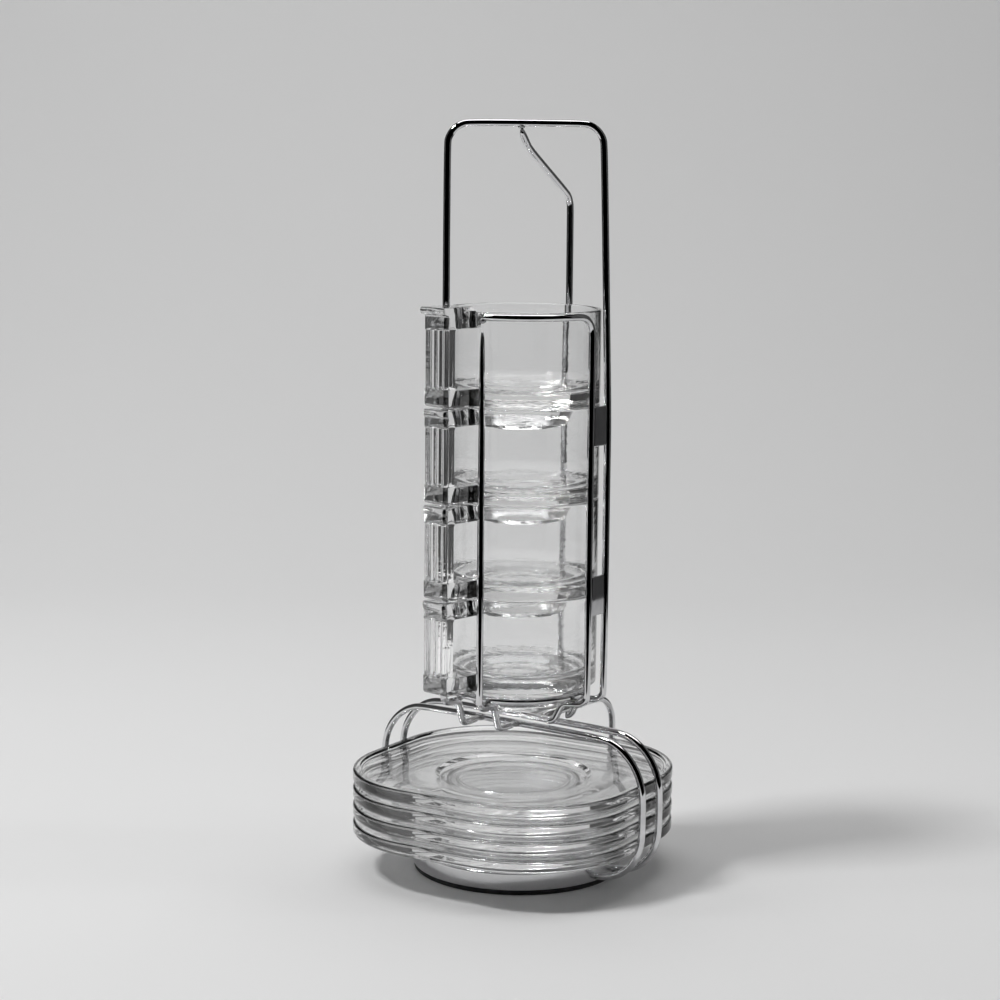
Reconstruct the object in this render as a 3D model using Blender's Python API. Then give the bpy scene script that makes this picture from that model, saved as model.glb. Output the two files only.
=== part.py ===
"""Glass espresso cups and saucers on a chromed wire stand.

The stand is bent wire: a tall handle frame, a back leg, a low front bracket and two hoops
on a round base. Four cups stack in the wire cage and four square saucers stack under it.

World frame: metres, +Z up, origin on the table under the middle of the base. X runs along
the two hoops, and the saucers are drawn out and the cup handles point towards -Y.
"""
from math import acos, cos, pi, radians, sin, sqrt, tan

import bmesh
import bpy
from mathutils import Matrix, Quaternion, Vector

MM = 0.001

# Gap that is left between pieces that touch or are welded
GAP = 0.3 * MM

# Corners of a turned shape that are this close are one corner
WELD_DISTANCE = 0.001 * MM

# Wire of the stand
WIRE_RADIUS = 1.5 * MM
WIRE_SIDES_RESOLUTION = 2
BEND_RADIUS = 4.0 * MM
STEP_RADIUS = 3.0 * MM
BEND_STEP = radians(15)

# Round base
BASE_RADIUS = 44.6 * MM
BASE_HEIGHT = 9.7 * MM
BASE_SHEET = 1.2 * MM
BASE_EDGE = 0.7 * MM
BASE_SEGMENTS = 56
FOOT_RING_HEIGHT = 1.8 * MM
FOOT_RING_WIDTH = 2.8 * MM
FOOT_RING_INSET = 0.4 * MM

# Saucers
SAUCER_COUNT = 4
SAUCER_HALF_SIDE = 63.0 * MM
SAUCER_CORNER = 48.0 * MM
SAUCER_HEIGHT = 12.5 * MM
SAUCER_RIM = 5.5 * MM
SAUCER_RIM_WIDTH = 4.0 * MM
SAUCER_RIM_ROUND = 1.6 * MM
SAUCER_RIM_SLOPE = 0.9 * MM
SAUCER_FLOOR = 7.2 * MM
SAUCER_WELL_RADIUS = 30.0 * MM
SAUCER_WELL_EDGE = 34.3 * MM
SAUCER_WELL_STEP = 1.0 * MM
SAUCER_SHEET = 3.6 * MM
SAUCER_FOOT_RADIUS = 27.6 * MM
SAUCER_FOOT_WIDTH = 3.2 * MM
SAUCER_FOOT_RECESS = 2.6 * MM
SAUCER_FOOT_EDGE = 0.6 * MM
SAUCER_SEAT_X = -0.5 * MM
SAUCER_SEAT_Y = -2.4 * MM
SAUCER_TURN = radians(4)
SAUCER_SEGMENTS = 48

# Hoops round the saucers
HOOP_SPACING = 13.1 * MM
HOOP_SIDE_GAP = 1.4 * MM
HOOP_TOP_GAP = 17.9 * MM
HOOP_TOP_RADIUS = 23.0 * MM
HOOP_BOTTOM_RADIUS = 21.0 * MM
HOOP_BOTTOM_Z = 4.8 * MM
STOP_X = 6.5 * MM
STOP_GAP = 1.8 * MM
STOP_RADIUS = 14.0 * MM

# Cups
CUP_COUNT = 4
CUP_RADIUS = 33.0 * MM
CUP_HEIGHT = 49.5 * MM
CUP_WALL = 1.8 * MM
CUP_FLOOR = 15.5 * MM
CUP_FLOOR_RADIUS = 5.0 * MM
CUP_FOOT_INSET = 9.4 * MM
CUP_FOOT_TAPER = 4.0 * MM
CUP_FOOT_RECESS = 2.0 * MM
CUP_STEP = 8.6 * MM
CUP_SHOULDER = 10.1 * MM
CUP_TAPER = 0.8 * MM
CUP_RIM_ROUND = 0.5 * MM
CUP_SEGMENTS = 40
CUP_FLOOR_STEPS = 3

# Cup handles
GRIP_REACH = 18.2 * MM
GRIP_WIDTH = 13.5 * MM
GRIP_POST = 4.0 * MM
GRIP_BOTTOM = 11.3 * MM
GRIP_LOWER_ARM = 7.1 * MM
GRIP_UPPER_ARM = 6.1 * MM
GRIP_LIP = 2.5 * MM
GRIP_LIP_SLOPE = 1.4
GRIP_LIP_REACH = 0.6 * MM
GRIP_LIP_RISE = 0.9 * MM
TOP_LIP_REACH = 2.9 * MM
TOP_LIP_RISE = 2.7 * MM
GRIP_BELOW_RIM = 0.2 * MM
GRIP_BEVEL = 0.5 * MM
RIB_COUNT = 4
RIB_HEIGHT = 0.8 * MM
RIB_END_GAP = 1.0 * MM
RIB_FILL = 0.92
RIB_SEGMENTS = 10

# Wire cage round the cups
CAGE_GAP = 0.4 * MM
LEG_GAP = 1.0 * MM
RAIL_SPACING = 12.8 * MM
FOOT_DROP = 10.9 * MM
FOOT_REACH = 10.4 * MM
FOOT_STEP = 3.5 * MM
FOOT_RADII = [BEND_RADIUS, STEP_RADIUS, STEP_RADIUS]
RAIL_SLANT = radians(23)
SLOT_X = -4.75 * MM
CUP_RING_INSET = 3.8 * MM
BRACKET_BELOW_RIM = 1.8 * MM
BRACKET_CORNER = 8.0 * MM
BRACKET_STEP = 4.0 * MM
HANDLE_HEADROOM = 76.1 * MM
HANDLE_CORNER = 9.5 * MM
HANDLE_LEAN = 3.6 * MM
HANDLE_LEAN_BELOW_TIE = 5.65 * MM
HANDLE_LEAN_RADIUS = 120.0 * MM
S_BEND_START = 45.2 * MM
S_BEND_RISE = 20.8 * MM
S_BEND_INSET = 7.0 * MM
S_BEND_RADIUS = 9.0 * MM
S_BEND_END_GAP = 1.0 * MM
TOP_BAR_SHARE = 0.47
TIE_HEIGHT = 16.6 * MM
TIE_THICKNESS = 1.5 * MM
TIE_OFFSET = 35.7 * MM

# Worked out: saucers, hoops and stop wire
WIRE = 2 * WIRE_RADIUS
SAUCER_PITCH = SAUCER_FLOOR + GAP
SAUCER_BASE_Z = BASE_HEIGHT + GAP
SAUCER_TOP_Z = SAUCER_BASE_Z + (SAUCER_COUNT - 1) * SAUCER_PITCH + SAUCER_HEIGHT
SAUCER_REACH = (SAUCER_HALF_SIDE - SAUCER_CORNER) * (cos(SAUCER_TURN) + sin(SAUCER_TURN)) \
    + SAUCER_CORNER
HOOP_X = SAUCER_REACH + abs(SAUCER_SEAT_X) + HOOP_SIDE_GAP + WIRE_RADIUS
HOOP_Y = HOOP_SPACING / 2
HOOP_TOP_Z = SAUCER_TOP_Z + HOOP_TOP_GAP + WIRE_RADIUS
STOP_Y = SAUCER_SEAT_Y + SAUCER_REACH + STOP_GAP + WIRE_RADIUS

# Worked out: feet of the legs, cup ring and cup stack
FOOT_TOP_Z = HOOP_TOP_Z + FOOT_DROP
LAP_Z = HOOP_TOP_Z + WIRE + GAP
CUP_RING_Z = FOOT_TOP_Z + WIRE + GAP
CUP_BASE_Z = CUP_RING_Z + WIRE_RADIUS + GAP - CUP_STEP
CUP_PITCH = CUP_HEIGHT - CUP_SHOULDER + GAP
CUP_TOP_Z = CUP_BASE_Z + (CUP_COUNT - 1) * CUP_PITCH + CUP_HEIGHT

# Worked out: where the legs stand round the cups
CAGE_RADIUS = CUP_RADIUS + CAGE_GAP + WIRE_RADIUS
LEG_SPACING = GRIP_WIDTH + 2 * LEG_GAP + WIRE
LEG_LEFT = Vector((SLOT_X - LEG_SPACING / 2, -CAGE_RADIUS))
LEG_FRONT = Vector((SLOT_X + LEG_SPACING / 2, -CAGE_RADIUS))
RAIL_FRONT = Vector((CAGE_RADIUS, 0.0))
RAIL_BACK = Vector((CAGE_RADIUS, RAIL_SPACING))
LEG_BACK = Vector((0.0, CAGE_RADIUS))
GRIP_TURN = Vector((SLOT_X, -CAGE_RADIUS)).angle_signed(Vector((1.0, 0.0)))
CUP_FOOT_TOP_RADIUS = CUP_RADIUS - CUP_FOOT_INSET
CUP_FOOT_RADIUS = CUP_FOOT_TOP_RADIUS - CUP_FOOT_TAPER
CUP_RING_RADIUS = CUP_RADIUS - CUP_RING_INSET
BRACKET_Z = CUP_TOP_Z - BRACKET_BELOW_RIM
HANDLE_Z = CUP_TOP_Z + HANDLE_HEADROOM
TIE_Z = (BRACKET_Z + FOOT_TOP_Z) / 2
HANDLE_LEAN_Z = TIE_Z + TIE_OFFSET + TIE_HEIGHT / 2 - HANDLE_LEAN_BELOW_TIE


def clear_scene():
    """Remove every object that the scene starts with."""
    for item in list(bpy.data.objects):
        bpy.data.objects.remove(item, do_unlink=True)


def material(name, colour, roughness, metallic=0.0, transmission=0.0):
    """Make a Principled material."""
    made = bpy.data.materials.new(name)
    made.use_nodes = True
    shader = made.node_tree.nodes["Principled BSDF"]
    shader.inputs["Base Color"].default_value = (*colour, 1.0)
    shader.inputs["Roughness"].default_value = roughness
    shader.inputs["Metallic"].default_value = metallic
    shader.inputs["Transmission Weight"].default_value = transmission
    made.diffuse_color = (*colour, 1.0)
    return made


def empty(name, location=(0.0, 0.0, 0.0), parent=None):
    """Add an empty that carries a group of pieces."""
    made = bpy.data.objects.new(name, None)
    made.location = location
    made.parent = parent
    bpy.context.scene.collection.objects.link(made)
    return made


def add(name, data, finish, parent=None, location=(0.0, 0.0, 0.0), turn=0.0):
    """Add one piece of the object to the scene."""
    made = bpy.data.objects.new(name, data)
    made.location = location
    made.rotation_euler = (0.0, 0.0, turn)
    made.parent = parent
    if finish is not None:
        data.materials.append(finish)
    bpy.context.scene.collection.objects.link(made)
    return made


def mesh_from(name, bm, smooth=True):
    """Close a bmesh into a mesh with its faces turned outward."""
    bmesh.ops.recalc_face_normals(bm, faces=bm.faces)
    mesh = bpy.data.meshes.new(name)
    bm.to_mesh(mesh)
    bm.free()
    for face in mesh.polygons:
        face.use_smooth = smooth
    return mesh


def turned(name, profile, segments):
    """Spin a profile of (radius, height) points round Z."""
    bm = bmesh.new()
    corners = [bm.verts.new((radius, 0.0, height)) for radius, height in profile]
    edges = [bm.edges.new(pair) for pair in zip(corners, corners[1:])]
    if profile[0][0] > 0.0:
        edges.append(bm.edges.new((corners[-1], corners[0])))
    bmesh.ops.spin(bm, geom=corners + edges, axis=(0, 0, 1), cent=(0, 0, 0), angle=2 * pi,
                   steps=segments, use_merge=True)
    bmesh.ops.remove_doubles(bm, verts=bm.verts, dist=WELD_DISTANCE)
    return mesh_from(name, bm)


def bent(corners, radii):
    """Round the inner corners of a path, each with an arc of its own radius."""
    corners = [Vector(corner) for corner in corners]
    path = [corners[0]]
    for before, corner, after, radius in zip(corners, corners[1:], corners[2:], radii):
        back = (before - corner).normalized()
        on = (after - corner).normalized()
        inside = acos(max(-1.0, min(1.0, back.dot(on))))
        reach = radius / tan(inside / 2)
        centre = corner + (back + on).normalized() * radius / sin(inside / 2)
        start = corner + back * reach - centre
        steps = max(1, round((pi - inside) / BEND_STEP))
        for step in range(steps + 1):
            turn = Quaternion(on.cross(back), (pi - inside) * step / steps)
            path.append(centre + turn @ start)
    path.append(corners[-1])
    return path


def wire(name, path, finish, parent, closed=False):
    """Draw a piece of round wire along a path."""
    curve = bpy.data.curves.new(name, "CURVE")
    curve.dimensions = "3D"
    curve.bevel_depth = WIRE_RADIUS
    curve.bevel_resolution = WIRE_SIDES_RESOLUTION
    curve.use_fill_caps = not closed
    spline = curve.splines.new("POLY")
    spline.points.add(len(path) - 1)
    spline.use_cyclic_u = closed
    for point, place in zip(spline.points, path):
        point.co = (*place, 1.0)
    return add(name, curve, finish, parent)


def at(place, z):
    """Lift a place in plan to a height."""
    return Vector((place[0], place[1], z))


def straight_foot(place, inward, end_z, reach):
    """Corners of a foot that runs in from a leg, steps down and ends against a hoop."""
    knee = place + inward * FOOT_REACH
    low = knee + inward * FOOT_STEP
    tip = place + inward * reach
    return [at(place, FOOT_TOP_Z), at(knee, FOOT_TOP_Z), at(low, end_z), at(tip, end_z)]


def front_foot(place):
    """Foot of a front leg: it ends against the side of the front hoop."""
    reach = -place.y - HOOP_Y - WIRE - GAP
    return straight_foot(place, Vector((0.0, 1.0)), HOOP_TOP_Z, reach)


def back_foot(place):
    """Foot of the back leg: it ends against the side of the back hoop."""
    reach = place.y - HOOP_Y - WIRE - GAP
    return straight_foot(place, Vector((0.0, -1.0)), HOOP_TOP_Z, reach)


def rail_foot(place, hoop_y):
    """Foot of a side leg: it slants in and lies on top of the hoop at hoop_y."""
    across = place.y - hoop_y
    inward = Vector((-across / tan(RAIL_SLANT), -across))
    return straight_foot(place, inward.normalized(), LAP_Z, inward.length)


def handle_frame(finish, parent):
    """Tall frame in one wire: left leg, top bar and right leg, with their feet."""
    lean = (LEG_LEFT - RAIL_BACK).normalized() * HANDLE_LEAN
    corners = front_foot(LEG_LEFT)[::-1]
    corners.append(at(LEG_LEFT, HANDLE_Z))
    corners.append(at(RAIL_BACK + lean, HANDLE_Z))
    corners.append(at(RAIL_BACK, HANDLE_LEAN_Z))
    corners += rail_foot(RAIL_BACK, HOOP_Y)
    radii = FOOT_RADII[::-1] + [HANDLE_CORNER, HANDLE_CORNER, HANDLE_LEAN_RADIUS] + FOOT_RADII
    return wire("handle_frame", bent(corners, radii), finish, parent)


def back_leg(finish, parent):
    """Back leg, with the bend that carries it in to the middle of the top bar."""
    lean = (LEG_LEFT - RAIL_BACK).normalized() * HANDLE_LEAN
    middle = LEG_LEFT.lerp(RAIL_BACK + lean, TOP_BAR_SHARE)
    inward = (middle - LEG_BACK).normalized()
    start_z = CUP_TOP_Z + S_BEND_START
    corners = [at(middle, HANDLE_Z - WIRE_RADIUS - GAP - S_BEND_END_GAP)]
    corners.append(at(middle - inward * S_BEND_INSET, start_z + S_BEND_RISE))
    corners.append(at(LEG_BACK, start_z))
    corners += back_foot(LEG_BACK)
    radii = [S_BEND_RADIUS, S_BEND_RADIUS] + FOOT_RADII
    return wire("back_leg", bent(corners, radii), finish, parent)


def front_leg(finish, parent):
    """Straight front leg that ends under the bracket's top bar."""
    corners = [at(LEG_FRONT, BRACKET_Z - WIRE_RADIUS - GAP)] + front_foot(LEG_FRONT)
    return wire("front_leg", bent(corners, FOOT_RADII), finish, parent)


def front_rail(finish, parent):
    """Bracket's top bar, bent round the cups and then down into the front rail."""
    radius = LEG_FRONT.length
    arc = LEG_FRONT.angle(RAIL_FRONT)
    outline = bent([Vector((-WIRE_RADIUS, BRACKET_Z, 0.0)),
                    Vector((radius * arc, BRACKET_Z, 0.0)),
                    Vector((radius * arc, BRACKET_Z - 2 * BRACKET_CORNER, 0.0))],
                   [BRACKET_CORNER])
    run = outline[1].x - outline[0].x
    steps = max(2, round(run / BRACKET_STEP))
    flat = [outline[0].lerp(outline[1], step / steps) for step in range(steps)]
    path = []
    for point in flat + outline[1:]:
        angle = point.x / radius - arc
        reach = radius + (CAGE_RADIUS - radius) * max(0.0, point.x / (radius * arc))
        path.append(Vector((reach * cos(angle), reach * sin(angle), point.y)))
    path += bent([path[-1]] + rail_foot(RAIL_FRONT, -HOOP_Y), FOOT_RADII)[1:]
    return wire("front_rail", path, finish, parent)


def tie_plate(name, z, finish, parent):
    """Flat plate between the front rail and the right leg of the handle frame."""
    width = RAIL_SPACING - WIRE - 2 * GAP
    bm = bmesh.new()
    bmesh.ops.create_cube(bm, size=1.0)
    bmesh.ops.scale(bm, vec=(TIE_THICKNESS, width, TIE_HEIGHT), verts=bm.verts)
    middle = (RAIL_FRONT + RAIL_BACK) / 2
    return add(name, mesh_from(name, bm, smooth=False), finish, parent, at(middle, z))


def cup_ring(finish, parent):
    """Wire ring on the feet of the legs, under the shoulder of the lowest cup."""
    path = []
    for step in range(CUP_SEGMENTS):
        angle = 2 * pi * step / CUP_SEGMENTS
        path.append((CUP_RING_RADIUS * cos(angle), CUP_RING_RADIUS * sin(angle), CUP_RING_Z))
    return wire("cup_ring", path, finish, parent, closed=True)


def hoop(name, y, finish, parent):
    """Hoop over and round the saucers, with both ends welded to the base band."""
    tip = sqrt(BASE_RADIUS ** 2 - (HOOP_Y - WIRE_RADIUS) ** 2) + GAP
    corners = [(-tip, y, HOOP_BOTTOM_Z), (-HOOP_X, y, HOOP_BOTTOM_Z),
               (-HOOP_X, y, HOOP_TOP_Z), (HOOP_X, y, HOOP_TOP_Z),
               (HOOP_X, y, HOOP_BOTTOM_Z), (tip, y, HOOP_BOTTOM_Z)]
    bottom = min(HOOP_BOTTOM_RADIUS, HOOP_X - tip)
    radii = [bottom, HOOP_TOP_RADIUS, HOOP_TOP_RADIUS, bottom]
    return wire(name, bent(corners, radii), finish, parent)


def stop_wire(finish, parent):
    """Wire behind the saucers that keeps them from sliding out at the back."""
    tip = sqrt(BASE_RADIUS ** 2 - (STOP_X - WIRE_RADIUS) ** 2) + GAP
    corners = [(STOP_X, HOOP_Y + WIRE + GAP, HOOP_TOP_Z), (STOP_X, STOP_Y, HOOP_TOP_Z),
               (STOP_X, STOP_Y, HOOP_BOTTOM_Z), (STOP_X, tip, HOOP_BOTTOM_Z)]
    return wire("rear_stop_wire", bent(corners, [STOP_RADIUS, STOP_RADIUS]), finish, parent)


def base_band(finish, parent):
    """Pressed base: a band with a closed top, open underneath."""
    skirt = FOOT_RING_HEIGHT + GAP
    inner = BASE_RADIUS - BASE_SHEET
    profile = [(0.0, BASE_HEIGHT), (BASE_RADIUS - BASE_EDGE, BASE_HEIGHT),
               (BASE_RADIUS, BASE_HEIGHT - BASE_EDGE), (BASE_RADIUS, skirt), (inner, skirt),
               (inner, BASE_HEIGHT - BASE_SHEET), (0.0, BASE_HEIGHT - BASE_SHEET)]
    return add("base_band", turned("base_band", profile, BASE_SEGMENTS), finish, parent)


def foot_ring(finish, parent):
    """Soft ring under the band that the stand rests on."""
    outer = BASE_RADIUS - FOOT_RING_INSET
    inner = outer - FOOT_RING_WIDTH
    profile = [(outer, 0.0), (outer, FOOT_RING_HEIGHT), (inner, FOOT_RING_HEIGHT), (inner, 0.0)]
    return add("foot_ring", turned("foot_ring", profile, BASE_SEGMENTS), finish, parent)


def square_reach(angle, half, corner):
    """Distance from the middle of a rounded square to its edge, in one direction."""
    across, along = abs(cos(angle)), abs(sin(angle))
    major, minor = max(across, along), min(across, along)
    flat = half - corner
    if minor * half <= flat * major:
        return half / major
    # Meet the corner's arc: |t * d - c| = corner with c on the diagonal
    towards = flat * (major + minor)
    return towards + sqrt(towards ** 2 - 2 * flat ** 2 + corner ** 2)


def saucer_outlines():
    """Outlines of a saucer from the middle of its top, over the rim, to its foot.

    Each is (inset from the edge or None, radius or None, height).
    """
    top, rim_z = SAUCER_HEIGHT, SAUCER_HEIGHT - SAUCER_RIM
    slope_z = SAUCER_FLOOR + SAUCER_WELL_STEP
    inner_z = top - SAUCER_RIM_SLOPE
    middle = (SAUCER_HALF_SIDE - SAUCER_WELL_EDGE) / 2
    middle_z = (slope_z + inner_z) / 2
    foot_top = SAUCER_FLOOR - SAUCER_SHEET
    foot_in = SAUCER_FOOT_RADIUS - SAUCER_FOOT_WIDTH
    edge = SAUCER_FOOT_EDGE
    return [(None, SAUCER_WELL_RADIUS / 2, SAUCER_FLOOR),
            (None, SAUCER_WELL_RADIUS, SAUCER_FLOOR),
            (None, SAUCER_WELL_EDGE, slope_z),
            (middle, None, middle_z),
            (SAUCER_RIM_WIDTH, None, inner_z),
            (SAUCER_RIM_WIDTH / 2, None, top),
            (SAUCER_RIM_WIDTH / 5, None, top - SAUCER_RIM_ROUND / 8),
            (0.0, None, top - SAUCER_RIM_ROUND),
            (0.0, None, rim_z + SAUCER_RIM_ROUND),
            (SAUCER_RIM_WIDTH / 5, None, rim_z + SAUCER_RIM_ROUND / 8),
            (SAUCER_RIM_WIDTH, None, rim_z),
            (middle, None, middle_z - SAUCER_SHEET),
            (None, SAUCER_WELL_EDGE, foot_top + edge),
            (None, SAUCER_FOOT_RADIUS + edge, foot_top),
            (None, SAUCER_FOOT_RADIUS, edge),
            (None, SAUCER_FOOT_RADIUS - edge, 0.0),
            (None, foot_in, 0.0),
            (None, foot_in - edge, SAUCER_FOOT_RECESS)]


def saucer_mesh():
    """Square saucer with a round well, built outline by outline."""
    bm = bmesh.new()
    loops = []
    for inset, radius, height in saucer_outlines():
        loop = []
        for step in range(SAUCER_SEGMENTS):
            angle = 2 * pi * step / SAUCER_SEGMENTS
            reach = radius
            if radius is None:
                reach = square_reach(angle, SAUCER_HALF_SIDE - inset, SAUCER_CORNER - inset)
            loop.append(bm.verts.new((reach * cos(angle), reach * sin(angle), height)))
        loops.append([bm.edges.new((loop[step - 1], loop[step])) for step in range(len(loop))])
    for upper, lower in zip(loops, loops[1:]):
        bmesh.ops.bridge_loops(bm, edges=upper + lower)
    bmesh.ops.holes_fill(bm, edges=loops[0] + loops[-1], sides=SAUCER_SEGMENTS)
    return mesh_from("saucer", bm)


def cup_profile():
    """Profile of a cup's body, from the middle of its floor over the rim to its foot."""
    inner = CUP_RADIUS - CUP_WALL
    deep = inner - CUP_TAPER
    soft = CUP_RIM_ROUND
    arc = []
    for step in range(CUP_FLOOR_STEPS + 1):
        angle = step * pi / 2 / CUP_FLOOR_STEPS
        arc.append((deep - CUP_FLOOR_RADIUS * (1 - sin(angle)),
                    CUP_FLOOR + CUP_FLOOR_RADIUS * (1 - cos(angle))))
    rim = [(inner, CUP_HEIGHT - soft), (inner + soft, CUP_HEIGHT),
           (CUP_RADIUS - soft, CUP_HEIGHT), (CUP_RADIUS, CUP_HEIGHT - soft)]
    shoulder = [(CUP_RADIUS, CUP_SHOULDER + 3 * soft),
                (CUP_RADIUS - soft, CUP_SHOULDER + soft),
                (inner, CUP_SHOULDER), (deep, CUP_SHOULDER - soft),
                (deep - soft, CUP_STEP), (CUP_FOOT_TOP_RADIUS + 2 * soft, CUP_STEP),
                (CUP_FOOT_TOP_RADIUS, CUP_STEP - 2 * soft)]
    foot = [(CUP_FOOT_RADIUS + 2 * soft, 2 * soft), (CUP_FOOT_RADIUS, 0.0),
            (CUP_FOOT_RADIUS - CUP_FOOT_RECESS, 0.0),
            (CUP_FOOT_RADIUS - 2 * CUP_FOOT_RECESS, CUP_FOOT_RECESS),
            (0.0, CUP_FOOT_RECESS)]
    return [(0.0, CUP_FLOOR)] + arc + rim + shoulder + foot


def grip_mesh(lip_reach, lip_rise):
    """Handle of a cup, pointing along +X: an upright post on two arms, with a thumb lip."""
    root = CUP_RADIUS - CUP_WALL / 2
    outer = CUP_RADIUS + GRIP_REACH
    post = outer - GRIP_POST
    top = CUP_HEIGHT - GRIP_BELOW_RIM
    lip_top = top + lip_rise
    outline = [(root, top), (CUP_RADIUS + CUP_WALL, top), (CUP_RADIUS + GRIP_POST, lip_top),
               (outer + lip_reach, lip_top), (outer + lip_reach, lip_top - GRIP_LIP),
               (outer, lip_top - GRIP_LIP_SLOPE * GRIP_LIP), (outer, GRIP_BOTTOM), (root, GRIP_BOTTOM),
               (root, GRIP_BOTTOM + GRIP_LOWER_ARM), (post, GRIP_BOTTOM + GRIP_LOWER_ARM),
               (post, top - GRIP_UPPER_ARM), (root, top - GRIP_UPPER_ARM)]
    bm = bmesh.new()
    corners = [bm.verts.new((x, -GRIP_WIDTH / 2, z)) for x, z in outline]
    side = bm.faces.new(corners)
    made = bmesh.ops.extrude_face_region(bm, geom=[side])
    moved = [item for item in made["geom"] if isinstance(item, bmesh.types.BMVert)]
    bmesh.ops.translate(bm, vec=(0.0, GRIP_WIDTH, 0.0), verts=moved)
    bmesh.ops.recalc_face_normals(bm, faces=bm.faces)
    rounded = [edge for edge in bm.edges
               if min(vert.co.x for vert in edge.verts) > CUP_RADIUS + GRIP_BEVEL]
    bmesh.ops.bevel(bm, geom=rounded, offset=GRIP_BEVEL, segments=1, affect="EDGES")
    return mesh_from("grip", bm, smooth=False)


def rib_mesh():
    """Upright half-round ribs on the outer face of a cup's handle."""
    outer = CUP_RADIUS + GRIP_REACH
    low = GRIP_BOTTOM + GRIP_LOWER_ARM + RIB_END_GAP
    high = CUP_HEIGHT - GRIP_UPPER_ARM - RIB_END_GAP
    pitch = (GRIP_WIDTH - 2 * GRIP_BEVEL) / RIB_COUNT
    bm = bmesh.new()
    for index in range(RIB_COUNT):
        y = (index - (RIB_COUNT - 1) / 2) * pitch
        place = Matrix.Translation((outer, y, (low + high) / 2))
        made = bmesh.ops.create_cone(bm, segments=RIB_SEGMENTS, radius1=1.0, radius2=1.0,
                                     depth=high - low, cap_ends=True)
        size = Matrix.Diagonal((RIB_HEIGHT, RIB_FILL * pitch / 2, 1.0, 1.0))
        bmesh.ops.transform(bm, matrix=place @ size, verts=made["verts"])
    return mesh_from("ribs", bm, smooth=False)


def joined(name, body, *extras):
    """Join solids with exact Booleans and give the result as one mesh."""
    target = add(name, body, None)
    helpers = [add(f"{name}_{index}", extra, None) for index, extra in enumerate(extras)]
    for helper in helpers:
        union = target.modifiers.new("join", "BOOLEAN")
        union.operation = "UNION"
        union.solver = "EXACT"
        union.object = helper
    bpy.context.view_layer.update()
    ready = target.evaluated_get(bpy.context.evaluated_depsgraph_get())
    mesh = bpy.data.meshes.new_from_object(ready)
    for item in [target, *helpers]:
        bpy.data.objects.remove(item, do_unlink=True)
    return mesh


def cup_mesh(lip_reach, lip_rise):
    """Cup with its handle."""
    grip = joined("grip", grip_mesh(lip_reach, lip_rise), rib_mesh())
    return joined("cup", turned("cup_body", cup_profile(), CUP_SEGMENTS), grip)


def build():
    """Build the stand, the cups and the saucers."""
    clear_scene()
    chrome = material("chrome_wire", (0.82, 0.82, 0.83), 0.08, metallic=1.0)
    steel = material("bright_steel", (0.72, 0.72, 0.73), 0.22, metallic=1.0)
    rubber = material("black_rubber", (0.02, 0.02, 0.02), 0.7)
    glass = material("clear_glass", (0.93, 0.94, 0.94), 0.03, transmission=1.0)

    stand = empty("stand")
    base_band(steel, stand)
    foot_ring(rubber, stand)
    hoop("hoop_front", -HOOP_Y, chrome, stand)
    hoop("hoop_back", HOOP_Y, chrome, stand)
    stop_wire(chrome, stand)
    handle_frame(chrome, stand)
    back_leg(chrome, stand)
    front_leg(chrome, stand)
    front_rail(chrome, stand)
    cup_ring(chrome, stand)
    tie_plate("tie_plate_upper", TIE_Z + TIE_OFFSET, chrome, stand)
    tie_plate("tie_plate_lower", TIE_Z - TIE_OFFSET, chrome, stand)

    seat = (SAUCER_SEAT_X, SAUCER_SEAT_Y, SAUCER_BASE_Z)
    saucers = empty("saucer_stack", seat, stand)
    shape = saucer_mesh()
    for level in range(SAUCER_COUNT):
        place = (0.0, 0.0, level * SAUCER_PITCH)
        add(f"saucer_{level + 1}", shape.copy(), glass, saucers, place, SAUCER_TURN)

    cups = empty("cup_stack", (0.0, 0.0, CUP_BASE_Z), stand)
    lips = [(GRIP_LIP_REACH, GRIP_LIP_RISE)] * (CUP_COUNT - 1) + [(TOP_LIP_REACH, TOP_LIP_RISE)]
    for level, lip in enumerate(lips):
        place = (0.0, 0.0, level * CUP_PITCH)
        add(f"cup_{level + 1}", cup_mesh(*lip), glass, cups, place, GRIP_TURN)


build()
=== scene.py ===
"""Looks of a set of glass espresso cups and saucers on a chromed wire stand."""
import logging
from dataclasses import dataclass, field
from enum import Enum
from math import atan2, cos, pi, radians, sin, sqrt, tan
from typing import Any, Sequence

import bpy
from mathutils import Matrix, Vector


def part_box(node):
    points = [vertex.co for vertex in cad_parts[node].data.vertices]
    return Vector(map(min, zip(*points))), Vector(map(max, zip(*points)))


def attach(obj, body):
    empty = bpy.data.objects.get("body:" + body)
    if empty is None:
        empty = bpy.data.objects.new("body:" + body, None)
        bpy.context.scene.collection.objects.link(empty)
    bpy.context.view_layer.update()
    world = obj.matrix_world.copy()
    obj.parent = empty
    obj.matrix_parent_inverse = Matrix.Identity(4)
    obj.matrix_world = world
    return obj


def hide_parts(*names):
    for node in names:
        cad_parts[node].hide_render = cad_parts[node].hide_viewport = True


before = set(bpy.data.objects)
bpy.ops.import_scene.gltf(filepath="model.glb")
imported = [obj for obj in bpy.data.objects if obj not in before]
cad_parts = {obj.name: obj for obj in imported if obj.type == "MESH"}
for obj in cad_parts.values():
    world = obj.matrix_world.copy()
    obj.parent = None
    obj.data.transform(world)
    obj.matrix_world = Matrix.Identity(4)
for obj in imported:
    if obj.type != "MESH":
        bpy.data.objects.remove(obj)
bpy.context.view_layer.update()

MM = 0.001
WELD_DISTANCE = 0.002 * MM
Point = tuple[float, float]
log = logging.getLogger("looks")


class Slot(Enum):
    """Material slots of the record."""

    CHROME = "chrome_wire"
    STEEL = "bright_steel"
    RUBBER = "black_rubber"
    GLASS = "clear_glass"


# ---------------------------------------------------------------- shader maths


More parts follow.
